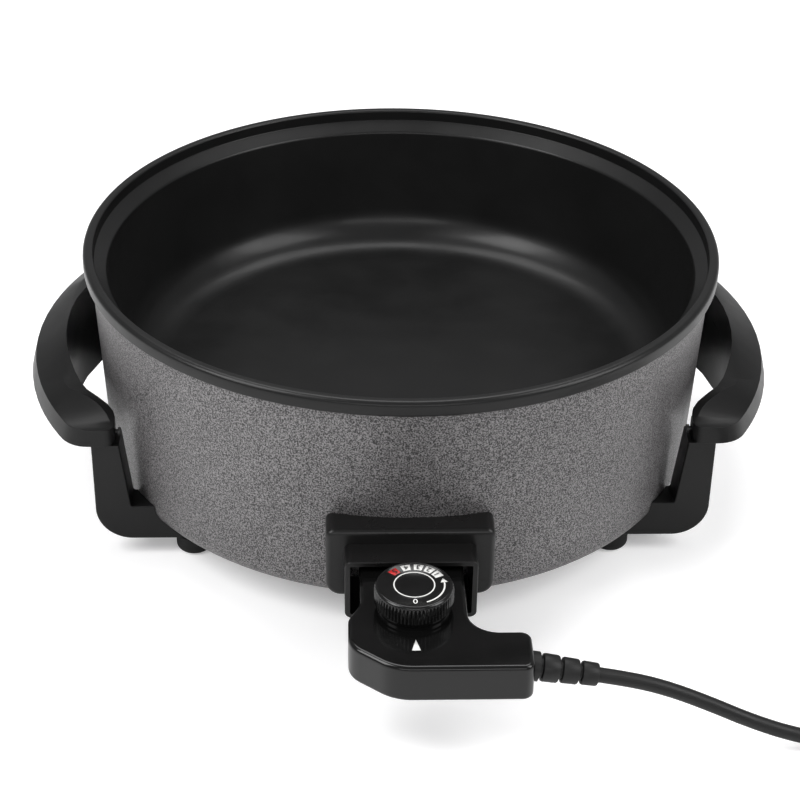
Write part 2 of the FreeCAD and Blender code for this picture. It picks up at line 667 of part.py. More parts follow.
def make_handle_screws():
    """Screws through the inner wall of each handle end into the leg's tenon."""
    y, z, inner_x, outer_x = tenon_screw_line()
    head_x = inner_x + TENON_INSET / 3.0
    length = outer_x - TENON_INSET - head_x
    shank = Part.makeCylinder(CASE_SCREW_RADIUS, length, vec(head_x, y, z), vec(1, 0, 0))
    head = Part.makeCylinder(CASE_SCREW_HEAD_RADIUS, CASE_SCREW_HEAD, vec(head_x - CASE_SCREW_HEAD, y, z),
                             vec(1, 0, 0))
    screw = shank.fuse(head)
    return Part.makeCompound(list(four_ways(screw).values()))


def handle_screw_cutter():
    """Hole for the shank and a recess for the head, open towards the pan."""
    y, z, inner_x, outer_x = tenon_screw_line()
    head_x = inner_x + TENON_INSET / 3.0
    hole = Part.makeCylinder(CASE_SCREW_RADIUS + SLIP, outer_x - TENON_INSET - head_x,
                             vec(head_x, y, z), vec(1, 0, 0))
    recess = Part.makeCylinder(CASE_SCREW_HEAD_RADIUS + SLIP, LEG_DEPTH, vec(head_x - LEG_DEPTH, y, z),
                               vec(1, 0, 0))
    return hole.fuse(recess)


def case_outline(inset):
    """Plan of the controller case: neck, body and the arm that the cord leaves from."""
    neck = NECK_WIDTH / 2.0
    arm_back = -CASE_FRONT + ARM_DEPTH
    corners = [
        (-neck, -NECK_FACE), (-neck, -250.0, 12.0), (-CASE_LEFT, -264.0, 12.0),
        (-CASE_LEFT, -CASE_FRONT + 20.0, 16.0), (-12.0, -CASE_FRONT, 28.0),
        (CASE_RIGHT, -CASE_FRONT, 6.0), (CASE_RIGHT, arm_back, 6.0), (neck, arm_back, 17.0),
        (neck, -NECK_FACE)]
    face = Part.Face(rounded_wire(corners, lambda p: vec(p.x, p.y, 0)))
    return face.makeOffset2D(-inset) if inset else face


def case_half(low, high, inner_low, inner_high, edge_height):
    half = case_outline(0)
    half.translate(vec(0, 0, low))
    half = half.extrude(vec(0, 0, high - low))
    rim = [e for e in half.Edges if all(abs(v.Z - edge_height) < 1e-6 for v in e.Vertexes)
           and min(v.Y for v in e.Vertexes) < -NECK_FACE - 1e-6]
    half = half.makeFillet(CASE_EDGE, rim)
    room = case_outline(CASE_WALL)
    room.translate(vec(0, 0, inner_low))
    half = half.cut(room.extrude(vec(0, 0, inner_high - inner_low)))
    for x, y in CASE_SCREW_PLACES:
        half = half.fuse(rod_z(CASE_BOSS_RADIUS, x, y, inner_low, inner_high))
    for side in (-1, 1):
        mouth = rod_y(PIN_RADIUS + LOOSE, side * PIN_SPACING / 2.0, PIN_HEIGHT,
                      -NECK_FACE - CASE_WALL, -NECK_FACE)
        half = half.cut(mouth)
    half = half.cut(rod_y(PROBE_RADIUS + SLIP, 0, PIN_HEIGHT, -NECK_FACE - CASE_WALL, -NECK_FACE))
    return half.cut(relief_solid(SLIP, False)).cut(cord_inside(LOOSE))


def make_case_top():
    half = case_half(PIN_HEIGHT, CASE_TOP, PIN_HEIGHT, CASE_TOP - CASE_WALL, CASE_TOP)
    half = half.cut(rod_z(SHAFT_RADIUS + SLIP, 0, -DIAL_Y, PIN_HEIGHT, CASE_TOP))
    for x, y in CASE_SCREW_PLACES:
        half = half.cut(rod_z(CASE_SCREW_RADIUS, x, y, PIN_HEIGHT, CASE_TOP - CASE_WALL))
    return half.removeSplitter()


def make_case_bottom():
    half = case_half(CASE_BOTTOM, PIN_HEIGHT, CASE_BOTTOM + CASE_WALL, PIN_HEIGHT, CASE_BOTTOM)
    for x, y in CASE_SCREW_PLACES:
        half = half.cut(rod_z(CASE_SCREW_RADIUS + LOOSE, x, y, CASE_BOTTOM, PIN_HEIGHT))
        half = half.cut(rod_z(CASE_SCREW_HEAD_RADIUS + LOOSE, x, y, CASE_BOTTOM,
                              CASE_BOTTOM + CASE_SCREW_HEAD))
    return half.removeSplitter()


def make_case_screws():
    screws = []
    for x, y in CASE_SCREW_PLACES:
        head_top = CASE_BOTTOM + CASE_SCREW_HEAD
        head = rod_z(CASE_SCREW_HEAD_RADIUS, x, y, CASE_BOTTOM, head_top)
        screws.append(head.fuse(rod_z(CASE_SCREW_RADIUS, x, y, head_top, CASE_TOP - CASE_WALL)))
    return Part.makeCompound(screws)


def block_front():
    return -NECK_FACE - CASE_WALL


def make_terminal_block():
    """Ceramic block behind the neck's face that carries the clips and the probe."""
    half = BLOCK_WIDTH / 2.0
    front = block_front() - BLOCK_DEPTH
    block = box((-half, front, CASE_BOTTOM + CASE_WALL), (half, block_front(), CASE_TOP - CASE_WALL))
    for side in (-1, 1):
        clip_hole = rod_y(PIN_RADIUS + SLIP + CLIP_WALL + SLIP, side * PIN_SPACING / 2.0, PIN_HEIGHT,
                          front, block_front())
        block = block.cut(clip_hole)
    return block.cut(rod_y(PROBE_RADIUS + SLIP, 0, PIN_HEIGHT, front, block_front()))


def make_terminal_clips():
    clips = []
    for side in (-1, 1):
        x = side * PIN_SPACING / 2.0
        front = block_front() - BLOCK_DEPTH
        clip = rod_y(PIN_RADIUS + SLIP + CLIP_WALL, x, PIN_HEIGHT, front, block_front())
        clips.append(clip.cut(rod_y(PIN_RADIUS + SLIP, x, PIN_HEIGHT, front, block_front())))
    return Part.makeCompound(clips)


def make_probe():
    rod = rod_y(PROBE_RADIUS, 0, PIN_HEIGHT, -PROBE_TAIL, -PROBE_TIP - PROBE_RADIUS)
    return rod.fuse(Part.makeSphere(PROBE_RADIUS, vec(0, -PROBE_TIP - PROBE_RADIUS, PIN_HEIGHT)))


def make_thermostat_frame():
    """Tray on the case floor with the lower bearing of the dial's shaft and a post for the blades."""
    low = CASE_BOTTOM + CASE_WALL
    half = THERMOSTAT_WIDTH / 2.0
    tray = box((-half, -DIAL_Y - THERMOSTAT_LENGTH / 2.0, low),
               (half, -DIAL_Y + THERMOSTAT_LENGTH / 2.0, low + THERMOSTAT_FLOOR))
    bearing = rod_z(SHAFT_RADIUS + CASE_WALL, 0, -DIAL_Y, low, cam_low() - LOOSE)
    post = box((-half, -DIAL_Y + THERMOSTAT_LENGTH / 2.0 - BLADE_POST, low),
               (-half + BLADE_POST, -DIAL_Y + THERMOSTAT_LENGTH / 2.0, cam_low() + CAM_HEIGHT))
    frame = tray.fuse(bearing).fuse(post)
    return frame.cut(rod_z(SHAFT_RADIUS + SLIP, 0, -DIAL_Y, low + THERMOSTAT_FLOOR, CASE_TOP))


def cam_low():
    return CASE_TOP - CASE_WALL - CAM_GAP_BELOW_CASE - CAM_HEIGHT


def make_thermostat_cam():
    low = cam_low()
    cam = rod_z(CAM_RADIUS, CAM_OFFSET, -DIAL_Y, low, low + CAM_HEIGHT)
    return cam.cut(rod_z(SHAFT_RADIUS + SLIP, 0, -DIAL_Y, low, low + CAM_HEIGHT))


def make_contact_blades():
    """Two spring blades on the post, side by side in height, clear of the cam's path."""
    x = -THERMOSTAT_WIDTH / 2.0 - BLADE_WALL
    back = -DIAL_Y + THERMOSTAT_LENGTH / 2.0
    blades = []
    for step in (0, 1):
        low = cam_low() - step * (BLADE_WIDTH + BLADE_WALL)
        blades.append(box((x, back - BLADE_LENGTH, low), (x + BLADE_WALL, back, low + BLADE_WIDTH - BLADE_WALL)))
    return Part.makeCompound(blades)


def make_dial_shaft():
    low = CASE_BOTTOM + CASE_WALL + THERMOSTAT_FLOOR + SHAFT_BASE_GAP
    return rod_z(SHAFT_RADIUS, 0, -DIAL_Y, low, DIAL_TOP - DIAL_TOP_WALL)


def make_dial():
    """Knob with a fluted skirt, hollow underneath, on a hub that takes the shaft."""
    low = DIAL_TOP - DIAL_SKIRT
    points = []
    steps = DIAL_FLUTES * 2
    for i in range(steps):
        angle = 2.0 * math.pi * i / steps
        radius = DIAL_RADIUS - (DIAL_FLUTE_DEPTH if i % 2 else 0.0)
        points.append(vec(radius * math.cos(angle), radius * math.sin(angle), low))
    points.append(points[0])
    fluted = Part.Face(Part.makePolygon(points)).extrude(vec(0, 0, DIAL_SKIRT - DIAL_TOP_EDGE * 1.5))
    inner = DIAL_RADIUS - DIAL_FLUTE_DEPTH
    core = turned([(0, low), (inner, low), (inner, DIAL_TOP, DIAL_TOP_EDGE), (0, DIAL_TOP)])
    room = rod_z(inner - DIAL_SKIRT_WALL, 0, 0, low, DIAL_TOP - DIAL_TOP_WALL)
    hub = rod_z(DIAL_HUB_RADIUS, 0, 0, low, DIAL_TOP - DIAL_TOP_WALL)
    dial = core.fuse(fluted).cut(room).fuse(hub)
    dial = dial.cut(rod_z(SHAFT_RADIUS + SLIP, 0, 0, low, DIAL_TOP - DIAL_TOP_WALL))
    dial.translate(vec(0, -DIAL_Y, 0))
    return dial


def make_dial_collar():
    groove = COLLAR_HEIGHT / 4.0
    high = CASE_TOP + COLLAR_HEIGHT
    collar = turned([
        (COLLAR_BORE, CASE_TOP), (COLLAR_RADIUS, CASE_TOP), (COLLAR_RADIUS, CASE_TOP + groove),
        (COLLAR_RADIUS - groove, CASE_TOP + groove * 1.5), (COLLAR_RADIUS - groove, CASE_TOP + groove * 2.5),
        (COLLAR_RADIUS, CASE_TOP + groove * 3.0), (COLLAR_RADIUS, high), (COLLAR_BORE, high)])
    collar.translate(vec(0, -DIAL_Y, 0))
    return collar


def relief_frame():
    """Start, direction and end of the strain relief outside the case."""
    angle = math.radians(RELIEF_DROOP)
    start = vec(CASE_RIGHT, -RELIEF_Y, PIN_HEIGHT)
    direction = vec(math.cos(angle), 0, -math.sin(angle))
    return start, direction, start + direction * RELIEF_LENGTH


def relief_solid(gap, grooved=True):
    """Tapered sleeve about the cord with a flange that the case halves trap."""
    start, direction, end = relief_frame()
    flange_start = -CASE_WALL - RELIEF_FLANGE - gap
    profile = [(0, flange_start), (RELIEF_FLANGE_RADIUS + gap, flange_start),
               (RELIEF_FLANGE_RADIUS + gap, -CASE_WALL + gap), (RELIEF_BASE_RADIUS + gap, -CASE_WALL + gap)]
    profile.append((RELIEF_BASE_RADIUS + gap, RELIEF_FLANGE))
    taper = (RELIEF_BASE_RADIUS - RELIEF_TIP_RADIUS) / (RELIEF_LENGTH - RELIEF_FLANGE)
    if grooved:
        pitch = (RELIEF_LENGTH - RELIEF_FLANGE) / (RELIEF_GROOVES + 1.0)
        for i in range(1, RELIEF_GROOVES + 1):
            at = RELIEF_FLANGE + pitch * i
            radius = RELIEF_BASE_RADIUS - taper * pitch * i
            profile.append((radius, at - pitch / 6.0))
            profile.append((radius - RELIEF_GROOVE_DEPTH, at - pitch / 12.0))
            profile.append((radius - RELIEF_GROOVE_DEPTH, at + pitch / 12.0))
            profile.append((radius, at + pitch / 6.0))
    profile.append((RELIEF_TIP_RADIUS + gap, RELIEF_LENGTH))
    profile.append((0, RELIEF_LENGTH))
    sleeve = turned(profile)
    sleeve.Placement = FreeCAD.Placement(start, FreeCAD.Rotation(Z_AXIS, direction))
    return sleeve


def cord_inside(gap):
    """The cord's straight stretch through the strain relief and into the case."""
    start, direction, end = relief_frame()
    inner = start - direction * (CASE_WALL + RELIEF_FLANGE + CORD_CLAMP_LENGTH * 2.0)
    length = (end - inner).Length
    return Part.makeCylinder(CORD_RADIUS + gap, length, inner, direction)


def make_strain_relief():
    return relief_solid(0.0).cut(cord_inside(SLIP))


def make_cord_clamp():
    """Bar across the cord inside the case."""
    start, direction, end = relief_frame()
    middle = start - direction * (CASE_WALL + RELIEF_FLANGE + CORD_CLAMP_LENGTH)
    half = CORD_RADIUS * 2.0
    top = CASE_TOP - CASE_WALL
    bar = box((middle.x - CORD_CLAMP_LENGTH / 2.0, -RELIEF_Y - half, top - CORD_CLAMP_HEIGHT),
              (middle.x + CORD_CLAMP_LENGTH / 2.0, -RELIEF_Y + half, top))
    return bar.cut(cord_inside(SLIP))


def cord_points():
    """Route from the strain relief to the coil; its first and last runs follow what they meet."""
    start, direction, end = relief_frame()
    coil = coil_start()
    return [end] + [vec(*p) for p in CORD_ROUTE] + [coil[0]]


def bent_path(points):
    """Straight runs joined by tangent arcs, each as large as its two runs allow."""
    edges = []
    radii = []
    last = points[0]
    for i in range(1, len(points) - 1):
        back = points[i - 1] - points[i]
        ahead = points[i + 1] - points[i]
        cut = 0.45 * min(back.Length, ahead.Length)
        turn = math.pi - back.getAngle(ahead)
        radius = cut / math.tan(turn / 2.0)
        back.normalize()
        ahead.normalize()
        middle = (back + ahead).normalize()
        start = points[i] + back * cut
        end = points[i] + ahead * cut
        bulge = radius / math.cos(turn / 2.0) - radius
        edges.append(Part.LineSegment(last, start).toShape())
        edges.append(Part.Arc(start, points[i] + middle * bulge, end).toShape())
        radii.append(radius)
        last = end
    edges.append(Part.LineSegment(last, points[-1]).toShape())
    return Part.Wire(edges), radii


def tube_along(path, start, direction):
    section = Part.Wire([Part.Circle(start, direction, CORD_RADIUS).toShape()])
    return path.makePipeShell([section], True, False)


def make_cord():
    points = cord_points()
    path, radii = bent_path(points)
    tube = tube_along(path, points[0], points[1] - points[0])
    inside = cord_inside(0.0)
    expected = math.pi * CORD_RADIUS ** 2 * path.Length
    print("cord run length %.1f, radii %s" % (path.Length, [round(r) for r in radii]))
    print("cord volume over section times length %.4f" % (tube.Volume / expected))
    return tube.fuse(inside).removeSplitter(), path.Length


def coil_state(turns):
    """Place and direction of the coil's centre line after a number of turns."""
    climb_turns = 0.5
    inner = COIL_OUTER - COIL_STEP * COIL_TURNS
    low = CORD_RADIUS + COIL_LIFT
    if turns <= COIL_TURNS:
        radius = COIL_OUTER - COIL_STEP * turns
        height = low
        radial = -COIL_STEP
        rise = 0.0
    elif turns <= COIL_TURNS + climb_turns:
        share = (turns - COIL_TURNS) / climb_turns
        radius = inner - COIL_STEP * climb_turns * share * (1.0 - share)
        height = low + COIL_LAYER * share * share * (3.0 - 2.0 * share)
        radial = -COIL_STEP * (1.0 - 2.0 * share)
        rise = COIL_LAYER * 6.0 * share * (1.0 - share) / climb_turns
    else:
        radius = inner + COIL_STEP * (turns - COIL_TURNS - climb_turns)
        height = low + COIL_LAYER
        radial = COIL_STEP
        rise = 0.0
    angle = 2.0 * math.pi * turns - math.pi / 2.0
    outward = vec(math.cos(angle), math.sin(angle), 0)
    along = vec(-math.sin(angle), math.cos(angle), 0)
    place = vec(COIL_X, COIL_Y, height) + outward * radius
    direction = along * (2.0 * math.pi * radius) + outward * radial + vec(0, 0, rise)
    return place, direction.normalize()


def coil_start():
    """Where the coil's straight lead begins, one cord diameter before its first turn."""
    place, direction = coil_state(0.0)
    return place - direction * (2.0 * CORD_RADIUS), direction


def coil_end():
    place, direction = coil_state(2.0 * COIL_TURNS + 0.5)
    return place + direction * (2.0 * CORD_RADIUS), direction


def arc_leaving(start, direction, end):
    """Arc from start, leaving along a direction, to end."""
    chord = end - start
    half = chord.Length / 2.0
    along = FreeCAD.Vector(chord).normalize()
    angle = direction.getAngle(along)
    side = (direction - along * direction.dot(along)).normalize()
    middle = start + chord * 0.5 + side * (half * math.tan(angle / 2.0))
    return Part.Arc(start, middle, end).toShape()


def biarc(start, leave, end, arrive):
    """Two arcs that join two places along two directions."""
    chord = end - start
    across = chord.dot(leave + arrive)
    spread = 2.0 * (1.0 - leave.dot(arrive))
    reach = (-across + math.sqrt(across ** 2 + spread * chord.dot(chord))) / spread
    joint = (start + end + (leave - arrive) * reach) * 0.5
    first = arc_leaving(start, leave, joint)
    second = arc_leaving(end, arrive * -1.0, joint)
    return [first, Part.Edge(second.reversed())]


def make_cord_coil():
    total = 2.0 * COIL_TURNS + 0.5
    quarter_steps = int(round(total * 4.0))
    begin, lead_in = coil_start()
    edges = [Part.LineSegment(begin, coil_state(0.0)[0]).toShape()]
    for i in range(quarter_steps):
        here = coil_state(total * i / quarter_steps)
        there = coil_state(total * (i + 1) / quarter_steps)
        edges += biarc(here[0], here[1], there[0], there[1])
    edges.append(Part.LineSegment(coil_state(total)[0], coil_end()[0]).toShape())
    path = Part.Wire(Part.__sortEdges__(edges))
    coil = tube_along(path, begin, lead_in)
    print("coil length %.1f, least gap %.2f, volume ratio %.4f" % (
        path.Length, least_gap(path), coil.Volume / (math.pi * CORD_RADIUS ** 2 * path.Length)))
    return coil, path.Length


def least_gap(path):
    """Least clear distance between stretches of the coil that lie a third of a turn or more apart."""
    points = path.discretize(700)
    step = path.Length / (len(points) - 1)
    apart = int(COIL_OUTER * 2.0 / step)
    least = COIL_OUTER
    for i in range(0, len(points) - apart, 2):
        for j in range(i + apart, len(points)):
            least = min(least, points[i].distanceToPoint(points[j]) - 2.0 * CORD_RADIUS)
    return least


def plug_start():
    """Where the tail meets the plug's neck."""
    place, direction = coil_end()
    return vec(place.x, place.y + TAIL_LENGTH, PLUG_AXIS_HEIGHT)


def make_cord_tail():
    place, direction = coil_end()
    end = plug_start()
    edges = biarc(place, direction, end, vec(0, 1, 0))
    path = Part.Wire(Part.__sortEdges__(edges))
    return tube_along(path, place, direction), path.Length


def make_cord_tie():
    """Flat strap looped round the bundle of turns."""
    total = 2.0 * COIL_TURNS + 0.5
    radii = []
    for i in range(int(total) + 1):
        turns = (TIE_ANGLE + 90.0) / 360.0 + i
        if turns <= total:
            place = coil_state(turns)[0]
            radii.append(math.hypot(place.x - COIL_X, place.y - COIL_Y))
    margin = CORD_RADIUS + TIE_GAP + COIL_STEP / 30.0
    near = min(radii) - margin
    far = max(radii) + margin
    low = COIL_LIFT - TIE_GAP
    high = CORD_RADIUS * 2.0 + COIL_LIFT + COIL_LAYER + TIE_GAP
    half = TIE_WIDTH / 2.0
    outside = box((near - TIE_WALL, -half, low - TIE_WALL), (far + TIE_WALL, half, high + TIE_WALL))
    upright = [e for e in outside.Edges if abs(e.Vertexes[0].Y - e.Vertexes[1].Y) > half]
    outside = outside.makeFillet(CORD_RADIUS / 2.0, upright)
    inside = box((near, -half, low), (far, half, high))
    inner_edges = [e for e in inside.Edges if abs(e.Vertexes[0].Y - e.Vertexes[1].Y) > half]
    inside = inside.makeFillet(CORD_RADIUS / 2.0 - TIE_WALL, inner_edges)
    tie = outside.cut(inside)
    tie.rotate(ORIGIN, Z_AXIS, TIE_ANGLE)
    tie.translate(vec(COIL_X, COIL_Y, 0))
    return tie


def make_plug_body():
    start = plug_start()
    neck = PLUG_NECK_LENGTH
    body = turned([
        (0, 0), (PLUG_NECK_RADIUS, 0), (PLUG_NECK_RADIUS * 1.5, neck), (PLUG_RADIUS, neck, 5.0),
        (PLUG_RADIUS, neck + PLUG_LENGTH, 1.5), (0, neck + PLUG_LENGTH)])
    body.Placement = FreeCAD.Placement(start, FreeCAD.Rotation(Z_AXIS, vec(0, 1, 0)))
    return body


def make_plug_pins():
    start = plug_start()
    face = start.y + PLUG_NECK_LENGTH + PLUG_LENGTH
    pins = []
    for side in (-1, 1):
        x = start.x + side * PLUG_PIN_SPACING / 2.0
        pin = rod_y(PLUG_PIN_RADIUS, x, start.z, face, face + PLUG_PIN_LENGTH - PLUG_PIN_RADIUS)
        pins.append(pin.fuse(Part.makeSphere(PLUG_PIN_RADIUS, vec(x, face + PLUG_PIN_LENGTH - PLUG_PIN_RADIUS,
                                                                   start.z))))
    return Part.makeCompound([pin.common(box((0, face, 0), (start.x * 2.0, face + PLUG_PIN_LENGTH * 2.0,
                                                             start.z * 2.0))) for pin in pins])


def build_all():
    parts = {}
    parts["inner_pan"] = make_inner_pan()
    parts["outer_shell"] = make_outer_shell()
    parts["base_cover"] = make_base_cover()
    parts["centre_stud"] = make_centre_stud()
    parts["centre_nut"] = make_centre_nut()
    parts["heat_plate"] = make_heat_plate()
    parts["heating_element"] = make_heating_element()
    parts["element_clamps"] = make_element_clamps()
    parts["terminal_pins"] = make_terminal_pins()
    parts["terminal_bushes"] = make_terminal_bushes()
    parts["socket_plate"] = make_socket_plate()
    parts["probe_well"] = make_probe_well()
    parts["socket_guard"] = make_socket_guard()
    parts["guard_screws"] = make_guard_screws()
    cutter = handle_screw_cutter()
    rear_cutter = mirrored(cutter, vec(0, 1, 0))
    handle = make_handle().cut(cutter).cut(rear_cutter)
    parts["handle_right"] = handle
    parts["handle_left"] = mirrored(handle, vec(1, 0, 0))
    parts["handle_wall_right"] = make_handle_wall()
    parts["handle_wall_left"] = mirrored(parts["handle_wall_right"], vec(1, 0, 0))
    for corner, leg in four_ways(make_leg().cut(cutter)).items():
        parts["leg_" + corner] = leg
    for corner, foot in four_ways(make_foot()).items():
        parts["foot_" + corner] = foot
    parts["leg_screws"] = make_leg_screws()
    parts["leg_nuts"] = make_leg_nuts()
    parts["handle_screws"] = make_handle_screws()
    parts["case_top"] = make_case_top()
    parts["case_bottom"] = make_case_bottom()
    parts["case_screws"] = make_case_screws()
    parts["terminal_block"] = make_terminal_block()
    parts["terminal_clips"] = make_terminal_clips()
    parts["probe"] = make_probe()
    parts["thermostat_frame"] = make_thermostat_frame()
    parts["thermostat_cam"] = make_thermostat_cam()
    parts["contact_blades"] = make_contact_blades()
    parts["dial_shaft"] = make_dial_shaft()
    parts["dial"] = make_dial()
    parts["dial_collar"] = make_dial_collar()
    parts["strain_relief"] = make_strain_relief()
    parts["cord_clamp"] = make_cord_clamp()
    parts["cord"], run_length = make_cord()
    parts["cord_coil"], coil_length = make_cord_coil()
    parts["cord_tail"], tail_length = make_cord_tail()
    parts["cord_tie"] = make_cord_tie()
    parts["plug_body"] = make_plug_body()
    parts["plug_pins"] = make_plug_pins()
    print("cord length in all %.1f" % (run_length + coil_length + tail_length))
    return parts


os.makedirs("parts", exist_ok=True)
for node, shape in build_all().items():
    shape.translate(vec(0, shift_to_base_centre, 0))
    if not shape.isValid():
        print("not valid:", node)
    shape.exportStep(os.path.join("parts", node + ".step"))
    corners = shape.BoundBox
    print("%-18s solids %d  x %.1f %.1f  y %.1f %.1f  z %.1f %.1f" % (
        node, len(shape.Solids), corners.XMin, corners.XMax, corners.YMin, corners.YMax,
        corners.ZMin, corners.ZMax))
print("shift along y %.2f" % shift_to_base_centre)
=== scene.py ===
import bpy
import bmesh
import json
import math
from mathutils import Matrix, Vector


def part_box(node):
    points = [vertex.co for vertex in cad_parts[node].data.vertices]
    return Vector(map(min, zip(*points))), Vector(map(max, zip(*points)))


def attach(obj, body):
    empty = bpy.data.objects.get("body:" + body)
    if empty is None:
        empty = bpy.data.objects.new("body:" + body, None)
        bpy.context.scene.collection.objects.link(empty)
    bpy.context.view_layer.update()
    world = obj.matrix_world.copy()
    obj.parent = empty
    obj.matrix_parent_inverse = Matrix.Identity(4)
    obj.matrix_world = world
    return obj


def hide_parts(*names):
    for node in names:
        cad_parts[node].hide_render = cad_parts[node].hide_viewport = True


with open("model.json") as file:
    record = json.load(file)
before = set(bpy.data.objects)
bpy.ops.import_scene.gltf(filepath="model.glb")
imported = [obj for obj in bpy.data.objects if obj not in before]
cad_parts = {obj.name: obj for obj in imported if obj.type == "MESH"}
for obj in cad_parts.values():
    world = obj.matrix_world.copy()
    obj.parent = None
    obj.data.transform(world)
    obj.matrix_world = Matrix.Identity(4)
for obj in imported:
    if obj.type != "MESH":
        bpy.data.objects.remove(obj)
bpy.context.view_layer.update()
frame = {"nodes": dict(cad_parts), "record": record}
nodes = frame["nodes"]

# Sizes in metres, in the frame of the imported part
PAN_Y = (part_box("inner_pan")[0].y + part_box("inner_pan")[1].y) / 2.0
DIAL_Y = (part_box("dial")[0].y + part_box("dial")[1].y) / 2.0
DIAL_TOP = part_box("dial")[1].z
DIAL_RADIUS = (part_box("dial")[1].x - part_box("dial")[0].x) / 2.0
CASE_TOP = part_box("case_top")[1].z
RIM_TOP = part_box("inner_pan")[1].z
CORD_DIAMETER = 0.0085

# Printed marks: how far they stand above their face, and how thick they are
PRINT_RAISE = 0.00012
PRINT_DEPTH = 0.0001


def paint_group(name, inputs, outputs):
    """An empty shader group with float inputs {name: value} and outputs {name: kind}."""
    group = bpy.data.node_groups.new(name, "ShaderNodeTree")
    for key, value in inputs.items():
        socket = group.interface.new_socket(key, in_out="INPUT", socket_type="NodeSocketFloat")
        socket.default_value = value
    for key, kind in outputs.items():
        group.interface.new_socket(key, in_out="OUTPUT", socket_type=kind)
    start = group.nodes.new("NodeGroupInput")
    end = group.nodes.new("NodeGroupOutput")
    return group, start, end


def build_grain():
    """Fine moulded or cast grain: a roughness that drifts, and a height for a bump."""
    group, start, end = paint_group(
        "moulded_grain", {"Scale": 900.0, "Low": 0.3, "High": 0.45},
        {"Roughness": "NodeSocketFloat", "Height": "NodeSocketFloat"})
    nt = group.nodes
    place = nt.new("ShaderNodeTexCoord")
    fine = nt.new("ShaderNodeTexNoise")
    fine.inputs["Detail"].default_value = 3.0
    wide = nt.new("ShaderNodeTexNoise")
    wide.inputs["Scale"].default_value = 30.0
    wide.inputs["Detail"].default_value = 4.0
    spread = nt.new("ShaderNodeMapRange")
    spread.inputs["From Min"].default_value = 0.35
    spread.inputs["From Max"].default_value = 0.65
    group.links.new(place.outputs["Object"], fine.inputs["Vector"])
    group.links.new(place.outputs["Object"], wide.inputs["Vector"])
    group.links.new(start.outputs["Scale"], fine.inputs["Scale"])
    group.links.new(wide.outputs["Fac"], spread.inputs["Value"])
    group.links.new(start.outputs["Low"], spread.inputs["To Min"])
    group.links.new(start.outputs["High"], spread.inputs["To Max"])
    group.links.new(spread.outputs["Result"], end.inputs["Roughness"])
    group.links.new(fine.outputs["Fac"], end.inputs["Height"])
    return group


GRAIN = build_grain()


def finish_material(name, color, grain_scale, low, high, bump, metallic=0.0, coat=0.0, specular=0.5):
    """A material whose roughness and bump come from the grain group."""
    material = bpy.data.materials.new(name)
    material.use_nodes = True
    nt = material.node_tree
    shader = nt.nodes["Principled BSDF"]
    shader.inputs["Base Color"].default_value = (*color, 1.0)
    shader.inputs["Metallic"].default_value = metallic
    shader.inputs["Coat Weight"].default_value = coat
    shader.inputs["Coat Roughness"].default_value = 0.12
    shader.inputs["Specular IOR Level"].default_value = specular
    grain = nt.nodes.new("ShaderNodeGroup")
    grain.node_tree = GRAIN
    grain.inputs["Scale"].default_value = grain_scale
    grain.inputs["Low"].default_value = low
    grain.inputs["High"].default_value = high
    relief = nt.nodes.new("ShaderNodeBump")
    relief.inputs["Strength"].default_value = bump
    relief.inputs["Distance"].default_value = 0.0003
    nt.links.new(grain.outputs["Roughness"], shader.inputs["Roughness"])
    nt.links.new(grain.outputs["Height"], relief.inputs["Height"])
    nt.links.new(relief.outputs["Normal"], shader.inputs["Normal"])
    return material


def hammered_material():
    """Grey lacquer with a fine mottled relief of light and dark flecks."""
    material = finish_material("hammered_lacquer", (0.16, 0.16, 0.165), 900.0, 0.3, 0.42, 0.1)
    nt = material.node_tree
    shader = nt.nodes["Principled BSDF"]
    shader.inputs["Metallic"].default_value = 0.35
    place = nt.nodes.new("ShaderNodeTexCoord")
    flecks = nt.nodes.new("ShaderNodeTexNoise")
    flecks.inputs["Scale"].default_value = 1150.0
    flecks.inputs["Detail"].default_value = 2.5
    flecks.inputs["Roughness"].default_value = 0.6
    tone = nt.nodes.new("ShaderNodeValToRGB")
    tone.color_ramp.elements[0].position = 0.42
    tone.color_ramp.elements[0].color = (0.024, 0.023, 0.0235, 1.0)
    tone.color_ramp.elements[1].position = 0.6
    tone.color_ramp.elements[1].color = (0.225, 0.217, 0.22, 1.0)
    relief = nt.nodes.new("ShaderNodeBump")
    relief.inputs["Strength"].default_value = 0.45
    relief.inputs["Distance"].default_value = 0.0006
    nt.links.new(place.outputs["Object"], flecks.inputs["Vector"])
    nt.links.new(flecks.outputs["Fac"], tone.inputs["Fac"])
    nt.links.new(tone.outputs["Color"], shader.inputs["Base Color"])
    nt.links.new(flecks.outputs["Fac"], relief.inputs["Height"])
    nt.links.new(relief.outputs["Normal"], shader.inputs["Normal"])
    return material


